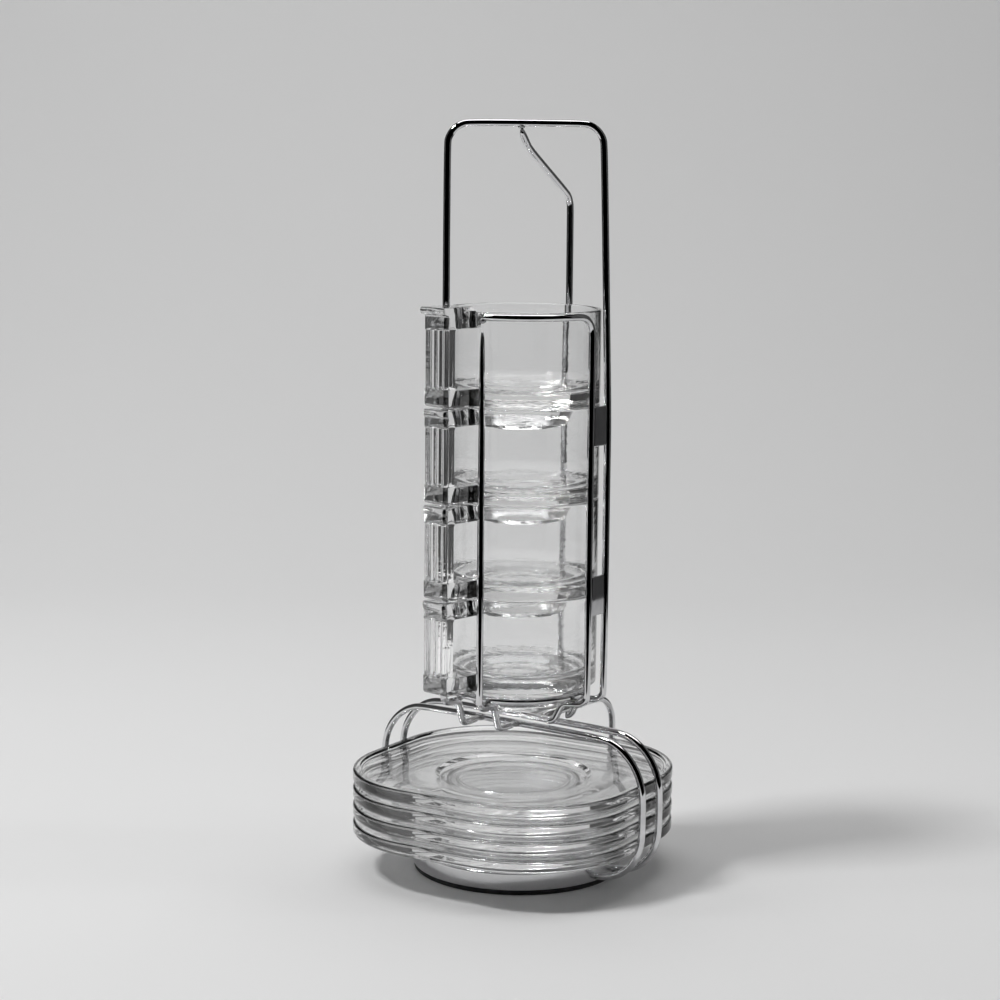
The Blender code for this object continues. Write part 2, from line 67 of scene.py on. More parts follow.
class Value:
    """A socket that can be used in Python expressions."""

    def __init__(self, graph: "Graph", socket: bpy.types.NodeSocket) -> None:
        """Wrap an output socket of a graph.

        Args:
            graph: The graph that holds the socket.
            socket: The output socket.
        """
        self.graph = graph
        self.socket = socket

    def _with(self, operation: str, first: Any, second: Any = None) -> "Value":
        """Add a Math node.

        Args:
            operation: The Math node's operation.
            first: The first number or value.
            second: The second number or value, if there is one.

        Returns:
            The node's result.
        """
        inputs = {0: first} if second is None else {0: first, 1: second}
        return self.graph.node("ShaderNodeMath", {"operation": operation}, inputs)

    def __add__(self, other: Any) -> "Value":
        """Sum."""
        return self._with("ADD", self, other)

    def __radd__(self, other: Any) -> "Value":
        """Sum with the number first."""
        return self._with("ADD", other, self)

    def __sub__(self, other: Any) -> "Value":
        """Difference."""
        return self._with("SUBTRACT", self, other)

    def __rsub__(self, other: Any) -> "Value":
        """Difference with the number first."""
        return self._with("SUBTRACT", other, self)

    def __mul__(self, other: Any) -> "Value":
        """Product."""
        return self._with("MULTIPLY", self, other)

    def __rmul__(self, other: Any) -> "Value":
        """Product with the number first."""
        return self._with("MULTIPLY", other, self)

    def __pow__(self, other: Any) -> "Value":
        """Power."""
        return self._with("POWER", self, other)

    def turn_of(self, other: Any) -> "Value":
        """Angle of the point (other, self)."""
        return self._with("ARCTAN2", self, other)


class Graph:
    """Node tree of one material, with a Principled shader at its end."""

    def __init__(self, name: str, constants: dict[str, Any]) -> None:
        """Make a material with a Principled shader.

        Args:
            name: The material's name.
            constants: Values that are the same all over, by socket name.
        """
        self.material = bpy.data.materials.new(name)
        self.material.use_nodes = True
        self.tree = self.material.node_tree
        self.shader = self.tree.nodes["Principled BSDF"]
        for key, value in constants.items():
            self.shader.inputs[key].default_value = value

    def node(self, kind: str, settings: dict[str, Any] | None = None,
             inputs: dict[Any, Any] | None = None, output: Any = 0) -> Value:
        """Add one node.

        Args:
            kind: The node's type.
            settings: Its own settings, and "stops" for a ramp.
            inputs: Numbers, vectors or values for its sockets, by index or name.
            output: Index or name of the output that is used.

        Returns:
            The output as a value.
        """
        made = self.tree.nodes.new(kind)
        for key, value in (settings or {}).items():
            if key == "stops":
                ramp = made.color_ramp.elements
                while len(ramp) < len(value):
                    ramp.new(0.5)
                for stop, (place, level) in zip(ramp, value):
                    stop.position = place
                    stop.color = (level, level, level, 1.0)
            else:
                setattr(made, key, value)
        for key, value in (inputs or {}).items():
            if isinstance(value, Value):
                self.tree.links.new(value.socket, made.inputs[key])
            else:
                made.inputs[key].default_value = value
        return Value(self, made.outputs[output])

    def feed(self, socket: str, value: Value) -> None:
        """Link a value to the shader.

        Args:
            socket: The shader's socket.
            value: What feeds it.
        """
        self.tree.links.new(value.socket, self.shader.inputs[socket])

    def place(self) -> Value:
        """Object coordinates, which are the shared frame's metres."""
        return self.node("ShaderNodeTexCoord", output="Object")

    def noise(self, scale: float, detail: float = 3.0, where: Value | None = None) -> Value:
        """Soft noise.

        Args:
            scale: Features per metre.
            detail: How fine it gets.
            where: Coordinates, or the object's own.

        Returns:
            The noise, 0 to 1.
        """
        at = where or self.place()
        return self.node("ShaderNodeTexNoise", None,
                         {"Vector": at, "Scale": scale, "Detail": detail})

    def ramp(self, value: Value, low: float, high: float) -> Value:
        """Stretch a value's middle over 0 to 1.

        Args:
            value: What is stretched.
            low: What becomes 0.
            high: What becomes 1.

        Returns:
            The stretched value.
        """
        return self.node("ShaderNodeValToRGB", {"stops": [(low, 0.0), (high, 1.0)]},
                         {"Fac": value})

    def tint(self, mask: Value, dark: Sequence[float], light: Sequence[float]) -> Value:
        """Mix two colours by a mask.

        Args:
            mask: 0 for the dark colour, 1 for the light one.
            dark: Colour where the mask is 0.
            light: Colour where the mask is 1.

        Returns:
            The colour.
        """
        return self.node("ShaderNodeMix", {"data_type": "RGBA"},
                         {0: mask, 6: (*dark, 1.0), 7: (*light, 1.0)}, 2)

    def bump(self, height: Value, strength: float, distance: float) -> None:
        """Give the shader a bump.

        Args:
            height: The height map.
            strength: The bump's strength.
            distance: What a height of 1 means, in metres.
        """
        self.feed("Normal", self.node("ShaderNodeBump", None,
                                      {"Height": height, "Strength": strength,
                                       "Distance": distance}))


# ------------------------------------------------------------------- finishes


@dataclass(frozen=True)
class PolishedChrome:
    """Bright chrome on drawn wire, with fine draw marks and faint handling haze."""

    name: str = "polished_chrome"
    dark: tuple[float, float, float] = (0.50, 0.50, 0.51)
    light: tuple[float, float, float] = (0.74, 0.74, 0.75)
    shine: float = 0.03
    haze: float = 0.05
    cloud_scale: float = 160.0
    scratch_scale: float = 2600.0

    def make(self) -> bpy.types.Material:
        """Build the material."""
        graph = Graph(self.name, {"Metallic": 1.0})
        cloud = graph.ramp(graph.noise(self.cloud_scale, 4.0), 0.35, 0.7)
        scratch = graph.ramp(graph.noise(self.scratch_scale, 2.0), 0.5, 0.75)
        graph.feed("Base Color", graph.tint(1.0 - cloud * 0.6, self.dark, self.light))
        graph.feed("Roughness", self.shine + cloud * self.haze * 0.5 + scratch * self.haze * 0.5)
        graph.bump(graph.noise(300.0, 1.0) + scratch * 0.05, 0.03, 0.1 * MM)
        return graph.material


@dataclass(frozen=True)
class WeldMetal:
    """Plated weld bead: rippled, a little duller than the wire, and painted with shade: darker
    than the wire all over, darkest in the hollows of its ripple.
    """

    name: str = "weld_chrome_painted_shade"
    ripple_scale: float = 1500.0
    dark: tuple[float, float, float] = (0.20, 0.20, 0.20)
    light: tuple[float, float, float] = (0.62, 0.62, 0.63)

    def make(self) -> bpy.types.Material:
        """Build the material."""
        graph = Graph(self.name, {"Metallic": 1.0})
        ripple = graph.noise(self.ripple_scale, 3.0)
        # Painted shade: the whole bead darker than the wire, and darkest where the ripple's bump
        # is low.
        graph.feed("Base Color", graph.tint(graph.ramp(ripple, 0.3, 0.7), self.dark, self.light))
        graph.feed("Roughness", 0.1 + ripple * 0.2)
        graph.bump(ripple, 0.5, 0.3 * MM)
        return graph.material


@dataclass(frozen=True)
class SpunSteel:
    """Bright steel with fine brushing that runs round the base."""

    name: str = "spun_steel"
    round_stretch: float = 0.012
    brush_scale: float = 2600.0
    dark: tuple[float, float, float] = (0.56, 0.56, 0.57)
    light: tuple[float, float, float] = (0.80, 0.80, 0.81)

    def make(self) -> bpy.types.Material:
        """Build the material."""
        graph = Graph(self.name, {"Metallic": 1.0})
        place = graph.place()
        across, along, up = (graph.node("ShaderNodeSeparateXYZ", None, {0: place}, index)
                             for index in range(3))
        turn = along.turn_of(across)
        radius = (across * across + along * along) ** 0.5
        brush_at = graph.node("ShaderNodeCombineXYZ", None,
                              {0: turn * self.round_stretch, 1: radius, 2: up})
        brush = graph.noise(self.brush_scale, 4.0, brush_at)
        cloud = graph.ramp(graph.noise(70.0, 3.0), 0.35, 0.7)
        graph.feed("Base Color", graph.tint(brush * 0.7 + cloud * 0.3, self.dark, self.light))
        graph.feed("Roughness", 0.07 + brush * 0.14 + cloud * 0.05)
        graph.bump(brush, 0.25, 0.04 * MM)
        return graph.material


@dataclass(frozen=True)
class MattRubber:
    """Black rubber with a fine moulded grain and a dusty bloom."""

    name: str = "matt_rubber"
    grain_scale: float = 3200.0
    bloom_scale: float = 130.0
    dark: tuple[float, float, float] = (0.010, 0.010, 0.010)
    light: tuple[float, float, float] = (0.035, 0.035, 0.035)

    def make(self) -> bpy.types.Material:
        """Build the material."""
        graph = Graph(self.name, {"Specular IOR Level": 0.35})
        grain = graph.noise(self.grain_scale, 3.0)
        bloom = graph.ramp(graph.noise(self.bloom_scale, 4.0), 0.4, 0.75)
        graph.feed("Base Color", graph.tint(bloom, self.dark, self.light))
        graph.feed("Roughness", 0.55 + grain * 0.25)
        graph.bump(grain, 0.4, 0.1 * MM)
        return graph.material


@dataclass(frozen=True)
class PressedGlass:
    """Clear pressed glass: slow waves from the mould, fine specks and faint wipe marks.

    Attributes:
        name: The material's name.
        wave: How strongly the surface waves.
        wave_scale: Waves per metre.
        stretch: How much the waves are drawn out round the axis.
        wipe_scale: Wipe marks per metre.
        speck_scale: Specks per metre.
        clear: Tint of the clean glass.
        wiped: Tint of the wipe marks.
    """

    name: str
    wave: float
    wave_scale: float
    stretch: float
    wipe_scale: float = 60.0
    speck_scale: float = 900.0
    clear: tuple[float, float, float] = (0.985, 0.987, 0.988)
    wiped: tuple[float, float, float] = (0.955, 0.96, 0.962)

    def make(self) -> bpy.types.Material:
        """Build the material."""
        graph = Graph(self.name, {"Metallic": 0.0, "Transmission Weight": 1.0, "IOR": 1.5})
        drawn = graph.node("ShaderNodeMapping", None,
                           {"Vector": graph.place(),
                            "Scale": (1.0, 1.0, self.stretch)})
        slow = graph.noise(self.wave_scale, 2.0, drawn)
        fine = graph.noise(self.wave_scale * 5.0, 2.0, drawn)
        wipe = graph.ramp(graph.noise(self.wipe_scale, 5.0), 0.55, 0.8)
        speck = graph.ramp(graph.noise(self.speck_scale, 1.0), 0.74, 0.78)
        graph.feed("Base Color", graph.tint(wipe, self.clear, self.wiped))
        graph.feed("Roughness", wipe * 0.02 + speck * 0.15)
        graph.bump(slow + fine * 0.12, self.wave, 0.6 * MM)
        return graph.material


@dataclass(frozen=True)
class StudioPaper:
    """Pale seamless paper, faintly mottled."""

    name: str = "studio_paper"
    level: float = 0.80

    def make(self) -> bpy.types.Material:
        """Build the material."""
        graph = Graph(self.name, {"Specular IOR Level": 0.15, "Roughness": 0.75})
        mottle = graph.ramp(graph.noise(3.0, 5.0), 0.3, 0.7)
        high, low = self.level, self.level * 0.985
        graph.feed("Base Color", graph.tint(mottle, (low,) * 3, (high,) * 3))
        graph.bump(graph.noise(900.0, 3.0), 0.05, 0.1 * MM)
        return graph.material


# ------------------------------------------------------------------ the bench


def rounded(corners: Sequence[Point], radii: Sequence[float], step: float = 12.0) -> list[Point]:
    """Round the inner corners of a flat path.

    Args:
        corners: The path's corners.
        radii: Radius at each corner between the first and the last.
        step: Largest turn between two points of an arc, in degrees.

    Returns:
        The rounded path.
    """
    path = [Vector(corners[0])]
    for before, corner, after, radius in zip(corners, corners[1:], corners[2:], radii):
        corner = Vector(corner)
        back = (Vector(before) - corner).normalized()
        onward = (Vector(after) - corner).normalized()
        inside = back.angle(onward)
        if radius <= 0.0 or inside > pi - 0.01:
            path.append(corner)
            continue
        reach = radius / tan(inside / 2)
        centre = corner + (back + onward).normalized() * radius / sin(inside / 2)
        start = corner + back * reach - centre
        side = 1.0 if back.x * onward.y - back.y * onward.x > 0 else -1.0
        count = max(2, round((pi - inside) / radians(step)))
        for index in range(count + 1):
            turn = -side * (pi - inside) * index / count
            spun = Vector((start.x * cos(turn) - start.y * sin(turn),
                           start.x * sin(turn) + start.y * cos(turn)))
            path.append(centre + spun)
    path.append(Vector(corners[-1]))
    return [(point.x, point.y) for point in path]


class Bench:
    """Modelling moves that the sub-assemblies share."""

    @staticmethod
    def alone(piece: bpy.types.Object) -> None:
        """Select one object and make it active."""
        bpy.ops.object.select_all(action="DESELECT")
        piece.select_set(True)
        bpy.context.view_layer.objects.active = piece

    @staticmethod
    def drawn(name: str, path: Sequence[Sequence[float]]) -> bpy.types.Object:
        """Draw a line of vertices by extruding one along a path.

        Args:
            name: The piece's name.
            path: Points in the shared frame.

        Returns:
            The piece, left in edit mode with its last vertex selected.
        """
        bpy.ops.object.select_all(action="DESELECT")
        bpy.ops.mesh.primitive_plane_add(size=MM)
        piece = bpy.context.object
        piece.name = name
        bpy.ops.object.mode_set(mode="EDIT")
        bpy.ops.mesh.merge(type="CENTER")
        bpy.ops.transform.translate(value=path[0])
        for before, after in zip(path, path[1:]):
            move = Vector(after) - Vector(before)
            bpy.ops.mesh.extrude_vertices_move(TRANSFORM_OT_translate={"value": move})
        return piece

    @classmethod
    def turned(cls, name: str, profile: Sequence[Point], steps: int) -> bpy.types.Object:
        """Spin a profile of (radius, height) points round Z.

        Args:
            name: The piece's name.
            profile: The profile; both ends on the axis, or closed.
            steps: Steps round the axis.

        Returns:
            The closed piece.
        """
        piece = cls.drawn(name, [(radius, 0.0, height) for radius, height in profile])
        bpy.ops.mesh.select_all(action="SELECT")
        bpy.ops.mesh.spin(steps=steps, angle=2 * pi, center=(0, 0, 0), axis=(0, 0, 1))
        bpy.ops.mesh.select_all(action="SELECT")
        bpy.ops.mesh.remove_doubles(threshold=WELD_DISTANCE)
        bpy.ops.mesh.normals_make_consistent(inside=False)
        bpy.ops.object.mode_set(mode="OBJECT")
        return piece

    @classmethod
    def slab(cls, name: str, outline: Sequence[Point], width: float) -> bpy.types.Object:
        """Fill an outline of (x, z) points and extrude it evenly to both sides of Y = 0.

        Args:
            name: The piece's name.
            outline: The outline's points, in order.
            width: Thickness along Y.

        Returns:
            The closed piece.
        """
        piece = cls.drawn(name, [(x, -width / 2, z) for x, z in [*outline, outline[0]]])
        bpy.ops.mesh.select_all(action="SELECT")
        bpy.ops.mesh.remove_doubles(threshold=WELD_DISTANCE)
        bpy.ops.mesh.edge_face_add()
        bpy.ops.mesh.extrude_region_move(TRANSFORM_OT_translate={"value": (0.0, width, 0.0)})
        bpy.ops.mesh.select_all(action="SELECT")
        bpy.ops.mesh.normals_make_consistent(inside=False)
        bpy.ops.object.mode_set(mode="OBJECT")
        return piece

    @classmethod
    def modify(cls, piece: bpy.types.Object, kind: str, **settings: Any) -> None:
        """Add a modifier and apply it.

        Args:
            piece: The piece.
            kind: The modifier's type.
            settings: The modifier's settings.
        """
        cls.alone(piece)
        made = piece.modifiers.new(kind.lower(), kind)
        for key, value in settings.items():
            setattr(made, key, value)
        bpy.ops.object.modifier_apply(modifier=made.name)

    @classmethod
    def unite(cls, piece: bpy.types.Object, other: bpy.types.Object) -> None:
        """Join a closed piece into another and remove what is left of it.

        Args:
            piece: The piece that stays.
            other: The piece that goes into it.
        """
        cls.modify(piece, "BOOLEAN", operation="UNION", solver="EXACT", object=other)
        bpy.data.objects.remove(other, do_unlink=True)

    @classmethod
    def settle(cls, piece: bpy.types.Object) -> None:
        """Bring a piece's place, turn and scale into its mesh."""
        cls.alone(piece)
        bpy.ops.object.transform_apply(location=True, rotation=True, scale=True)

    @classmethod
    def smooth(cls, piece: bpy.types.Object, angle: float = 35.0) -> None:
        """Shade smooth up to an angle in degrees."""
        cls.alone(piece)
        bpy.ops.object.shade_smooth_by_angle(angle=radians(angle))

    @staticmethod
    def copy(piece: bpy.types.Object, name: str) -> bpy.types.Object:
        """Copy a piece with its own mesh.

        Args:
            piece: The piece that is copied.
            name: The copy's name.

        Returns:
            The copy.
        """
        made = bpy.data.objects.new(name, piece.data.copy())
        bpy.context.scene.collection.objects.link(made)
        return made

    @classmethod
    def rounded_copy(cls, node: str, name: str, sides: int, radius: float) -> bpy.types.Object:
        """Copy a CAD wire and round its many-sided section.

        Args:
            node: The CAD node.
            name: The copy's name.
            sides: Sides of the CAD section.
            radius: Radius of the wire.

        Returns:
            The round wire.
        """
        piece = bpy.data.objects.new(name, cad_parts[node].data.copy())
        bpy.context.scene.collection.objects.link(piece)
        cls.alone(piece)
        bpy.ops.object.mode_set(mode="EDIT")
        bpy.ops.mesh.select_all(action="SELECT")
        bpy.ops.mesh.remove_doubles(threshold=WELD_DISTANCE)
        bpy.ops.mesh.customdata_custom_splitnormals_clear()
        bpy.ops.mesh.tris_convert_to_quads()
        bpy.ops.object.mode_set(mode="OBJECT")
        cls.modify(piece, "SUBSURF", levels=2, render_levels=2)
        shrunk = radius * (1.0 - (4.0 + 2.0 * cos(2 * pi / sides)) / 6.0)
        cls.modify(piece, "DISPLACE", strength=shrunk, mid_level=0.0)
        bpy.ops.object.shade_smooth()
        return piece

    @staticmethod
    def dress(piece: bpy.types.Object, finish: bpy.types.Material, slot: Slot, body: str,
              *nodes: str) -> None:
        """Finish a piece and hand it to the frame.

        Args:
            piece: The piece.
            finish: Its material.
            slot: The record's slot that it stands for; not used.
            body: The body that it rides on.
            nodes: CAD nodes that it stands for.
        """
        piece.data.materials.clear()
        piece.data.materials.append(finish)
        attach(piece, body)
        if nodes:
            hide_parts(*nodes)
        log.info("%s: %d faces on %s", piece.name, len(piece.data.polygons), body)


# -------------------------------------------------------------- sub-assemblies


@dataclass
class WireStand:
    """Bent chrome wires of the stand and the beads where they are welded."""

    wire_radius: float = 1.5 * MM
    sides: int = 8
    bead_radius: float = 1.75 * MM
    bead_across: tuple[float, float, float] = (1.0, 1.15, 0.8)
    bead_along: tuple[float, float, float] = (1.15, 1.0, 0.8)
    bar_bead: float = 0.85
    ring_bead: float = 0.8
    ripple_size: float = 1.1 * MM
    ripple_depth: float = 0.5 * MM
    ripple_level: float = 0.6
    ring_beads: tuple[float, ...] = (-112.0, -82.0, 90.0, -2.0, 18.0)
    rail_back: float = 12.8 * MM
    handle_lean: float = 3.6 * MM
    top_bar_share: float = 0.47
    wires: tuple[str, ...] = ("hoop_front", "hoop_back", "rear_stop_wire", "handle_frame",
                              "back_leg", "front_leg", "front_rail", "cup_ring")
    chrome: PolishedChrome = field(default_factory=PolishedChrome)
    weld: WeldMetal = field(default_factory=WeldMetal)

    def build(self) -> None:
        """Build and dress the wires and the weld beads."""
        finish = self.chrome.make()
        for node in self.wires:
            piece = Bench.rounded_copy(node, f"{node}_wire", self.sides, self.wire_radius)
            Bench.dress(piece, finish, Slot.CHROME, "stand", node)
        weld = self.weld.make()
        for index, (place, scale) in enumerate(self.beads()):
            bead = self.bead(f"weld_{index + 1:02d}", place, scale, index)
            Bench.dress(bead, weld, Slot.CHROME, "stand")

    def beads(self) -> list[tuple[Vector, Vector]]:
        """Places and proportions of the weld beads.

        Returns:
            Pairs of place and scale.
        """
        radius = self.wire_radius
        front_low, front_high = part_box("hoop_front")
        back_low, back_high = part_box("hoop_back")
        leg_low, leg_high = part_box("front_leg")
        rear_low, rear_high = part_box("back_leg")
        tall_low, tall_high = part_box("handle_frame")
        rail_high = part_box("front_rail")[1]
        stop_low, stop_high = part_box("rear_stop_wire")
        band_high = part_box("base_band")[1]
        ring_low, ring_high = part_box("cup_ring")
        front_y = (front_low.y + front_high.y) / 2
        back_y = (back_low.y + back_high.y) / 2
        hoop_z = front_high.z - radius
        foot_z = front_low.z + radius
        leg_x = (leg_low.x + leg_high.x) / 2
        left_x = tall_low.x + radius
        stop_x = (stop_low.x + stop_high.x) / 2
        band = band_high.x
        tip = sqrt(band ** 2 - front_y ** 2)
        across, along = Vector(self.bead_across), Vector(self.bead_along)
        spots = [(Vector((leg_x, front_low.y, hoop_z)), across),
                 (Vector((left_x, front_low.y, hoop_z)), across),
                 (Vector((rear_low.x + radius, back_high.y, hoop_z)), across),
                 (Vector((stop_x, back_high.y, hoop_z)), across),
                 (Vector((stop_x, band, foot_z)), along)]
        for side in (-1.0, 1.0):
            for y in (front_y, back_y):
                spots.append((Vector((side * tip, y, foot_z)), along))
        bracket_z = rail_high.z - radius
        small = across * self.bar_bead
        spots.append((Vector((leg_x, leg_low.y + radius, bracket_z - radius)), small))
        spots.append((self.bar_joint(left_x, tall_high, rear_high), small))
        ring = ring_high.x - radius
        ring_z = ring_low.z
        for turn in self.ring_beads:
            angle = radians(turn)
            spots.append((Vector((ring * cos(angle), ring * sin(angle), ring_z)),
                          across * self.ring_bead))
        return spots

    def bar_joint(self, left_x: float, tall_high: Vector, rear_high: Vector) -> Vector:
        """Place where the back leg meets the handle's top bar.

        Args:
            left_x: Middle of the handle's left leg.
            tall_high: Upper corner of the handle frame's box.
            rear_high: Upper corner of the back leg's box.

        Returns:
            The place.
        """
        radius = self.wire_radius
        left = Vector((left_x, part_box("front_leg")[0].y + radius))
        right = Vector((tall_high.x - radius, self.rail_back, 0.0)).xy
        lean = (left - right).normalized() * self.handle_lean
        middle = left.lerp(right + lean, self.top_bar_share)
        return Vector((middle.x, middle.y, rear_high.z + radius / 3))

    def bead(self, name: str, place: Vector, scale: Vector, index: int) -> bpy.types.Object:
        """Model one weld bead.

        Args:
            name: The bead's name.
            place: Its middle.
            scale: Its proportions.
            index: Its number, which names its ripple texture.

        Returns:
            The bead.
        """
        bpy.ops.object.select_all(action="DESELECT")
        bpy.ops.mesh.primitive_ico_sphere_add(subdivisions=4, radius=self.bead_radius,
                                              location=place, scale=scale)
        piece = bpy.context.object
        piece.name = name
        Bench.settle(piece)
        ripple = bpy.data.textures.new(f"ripple_{index}", "CLOUDS")
        ripple.noise_scale = self.ripple_size
        Bench.modify(piece, "DISPLACE", texture=ripple, texture_coords="GLOBAL",
                     strength=self.ripple_depth, mid_level=self.ripple_level)
        bpy.ops.object.shade_smooth()
        return piece


@dataclass
class TiePlates:
    """Two pressed plates between the front rail and the right leg, with painted shade: their
    chrome is a darker copy of the wire's.
    """

    edge: float = 0.45 * MM
    # Painted shade: a darker copy of the wire chrome, so that the plates read dark.
    finish: PolishedChrome = PolishedChrome("plate_chrome_painted_shade", (0.34, 0.34, 0.35),
                                            (0.48, 0.48, 0.49), 0.06, 0.08)

    def build(self) -> None:
        """Build and dress both plates."""
        finish = self.finish.make()
        for node in ("tie_plate_upper", "tie_plate_lower"):
            piece = self.plate(node)
            Bench.dress(piece, finish, Slot.CHROME, "stand", node)

    def plate(self, node: str) -> bpy.types.Object:
        """Model one plate in its CAD node's box, with its edges rolled over.

        Args:
            node: The CAD node that it stands for.

        Returns:
            The plate.
        """
        low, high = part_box(node)
        bpy.ops.object.select_all(action="DESELECT")
        bpy.ops.mesh.primitive_cube_add(size=1.0, location=(low + high) / 2, scale=high - low)
        piece = bpy.context.object
        piece.name = f"{node}_strip"
        Bench.settle(piece)
        Bench.modify(piece, "BEVEL", width=self.edge, segments=4)
        Bench.smooth(piece)
        return piece


@dataclass
class RoundBase:
    """Spun steel base with a rolled edge, on a rubber ring."""

    steps: int = 160
    sheet: float = 1.2 * MM
    roll: float = 0.9 * MM
    dish: float = 0.3 * MM
    pad_width: float = 2.8 * MM
    pad_round: float = 0.5 * MM
    steel: SpunSteel = field(default_factory=SpunSteel)
    rubber: MattRubber = field(default_factory=MattRubber)

    def build(self) -> None:
        """Build and dress the base and its ring."""
        Bench.dress(self.band(), self.steel.make(), Slot.STEEL, "stand", "base_band")
        Bench.dress(self.pad(), self.rubber.make(), Slot.RUBBER, "stand", "foot_ring")

    def band(self) -> bpy.types.Object:
        """Model the base: a band with a closed top that is dished a little.

        Returns:
            The base.
        """
        low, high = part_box("base_band")
        outer, inner = high.x, high.x - self.sheet
        top, under = high.z, high.z - self.sheet
        corners = [(0.0, top - self.dish), (outer - 5 * self.roll, top - self.dish),
                   (outer - 4 * self.roll, top), (outer, top), (outer, low.z),
                   (inner, low.z), (inner, under - self.dish), (0.0, under - self.dish)]
        radii = [self.roll, self.roll, self.roll, self.sheet / 3, self.sheet / 3, self.roll / 2]
        piece = Bench.turned("round_base", rounded(corners, radii), self.steps)
        Bench.smooth(piece)
        return piece

    def pad(self) -> bpy.types.Object:
        """Model the rubber ring.

        Returns:
            The ring.
        """
        low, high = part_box("foot_ring")
        outer, inner = high.x, high.x - self.pad_width
        middle = (outer + inner) / 2
        corners = [(middle, low.z), (outer, low.z), (outer, high.z), (inner, high.z),
                   (inner, low.z), (middle, low.z)]
        profile = rounded(corners, [self.pad_round] * 4)
        piece = Bench.turned("rubber_ring", profile, self.steps)
        Bench.smooth(piece)
        return piece


@dataclass
class SaucerStack:
    """Four rounded square saucers of pressed glass, each with a round well.

    The bends are the radii at the inner corners of the section, in millimetres.
    """

    count: int = 4
    steps: int = 176
    half: float = 63.0 * MM
    corner: float = 48.0 * MM
    height: float = 12.5 * MM
    rim: float = 5.5 * MM
    rim_width: float = 4.0 * MM
    floor: float = 7.2 * MM
    well: float = 30.0 * MM
    well_edge: float = 34.3 * MM
    sheet: float = 3.6 * MM
    foot: float = 27.6 * MM
    foot_width: float = 3.2 * MM
    foot_edge: float = 0.6 * MM
    recess: float = 2.6 * MM
    well_step: float = 1.0 * MM
    rim_slope: float = 0.9 * MM
    bends: tuple[float, ...] = (0.9, 0.8, 60.0, 1.5, 0.9, 1.4, 1.4, 6.0, 60.0, 3.0, 0.8, 0.8,
                                0.8, 0.8)
    turn: float = radians(4)
    glass: PressedGlass = PressedGlass("saucer_glass", 0.035, 80.0, 2.0)

    def build(self) -> None:
        """Build and dress the stack."""
        finish = self.glass.make()
        pattern = self.saucer()
        for level in range(1, self.count + 1):
            node = f"saucer_{level}"
            low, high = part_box(node)
            piece = Bench.copy(pattern, f"saucer_{level}_glass")
            piece.location = ((low.x + high.x) / 2, (low.y + high.y) / 2, low.z)
            piece.rotation_euler = (0.0, 0.0, self.turn)
            Bench.settle(piece)
            Bench.dress(piece, finish, Slot.GLASS, f"{node}_body", node)
        bpy.data.objects.remove(pattern, do_unlink=True)

    def profile(self) -> list[Point]:
        """Section of a saucer from the middle of its top, over the rim, to its foot."""
        slope = self.floor + self.well_step
        bead = self.height - self.rim_slope
        rim_low = self.height - self.rim
        inner = self.half - self.rim_width
        foot_top = self.floor - self.sheet
        middle = (self.half + self.well_edge) / 2
        middle_z = (slope + bead) / 2
        foot_in = self.foot - self.foot_width
        corners = [(0.0, self.floor), (self.well + 1.7 * MM, self.floor),
                   (self.well_edge - 0.8 * MM, slope + 0.4 * MM), (middle, middle_z),
                   (inner, bead), (inner + 1.3 * MM, self.height + 0.1 * MM),
                   (self.half, self.height), (self.half, rim_low),
                   (inner, rim_low), (middle, middle_z - self.sheet),
                   (self.well_edge, foot_top + self.foot_edge),
                   (self.foot + self.foot_edge, foot_top),
                   (self.foot, 0.0), (foot_in, 0.0), (foot_in - self.foot_edge, self.recess),
                   (0.0, self.recess)]
        path = rounded(corners, [radius * MM for radius in self.bends], 10.0)
        return [(x, min(z, self.height)) for x, z in path]

    def reach(self, angle: float, inset: float) -> float:
        """Distance from the middle to the edge of the rounded square.

        Args:
            angle: Direction.
            inset: How far inside the edge.

        Returns:
            The distance.
        """
        half, corner = self.half - inset, self.corner - inset
        across, along = abs(cos(angle)), abs(sin(angle))
        major, minor = max(across, along), min(across, along)
        flat = half - corner
        if minor * half <= flat * major:
            return half / major
        towards = flat * (major + minor)
        return towards + sqrt(towards ** 2 - 2 * flat ** 2 + corner ** 2)

    def saucer(self) -> bpy.types.Object:
        """Model one saucer: turned round, then squared outside the well.

        Returns:
            The saucer, upright at the origin.
        """
        piece = Bench.turned("saucer_pattern", self.profile(), self.steps)
        straight = 2.5 * self.rim_width
        for vertex in piece.data.vertices:
            x, y, z = vertex.co
            radius = sqrt(x * x + y * y)
            if radius <= self.well_edge:
                continue
            angle = atan2(y, x)
            inset = self.half - radius
            if inset <= straight:
                wanted = self.reach(angle, max(inset, 0.0))
            else:
                share = (radius - self.well_edge) / (self.half - straight - self.well_edge)
                outer = self.reach(angle, straight)
                wanted = self.well_edge + (outer - self.well_edge) * share
            vertex.co = (wanted * cos(angle), wanted * sin(angle), z)
        Bench.smooth(piece, 40.0)
        return piece


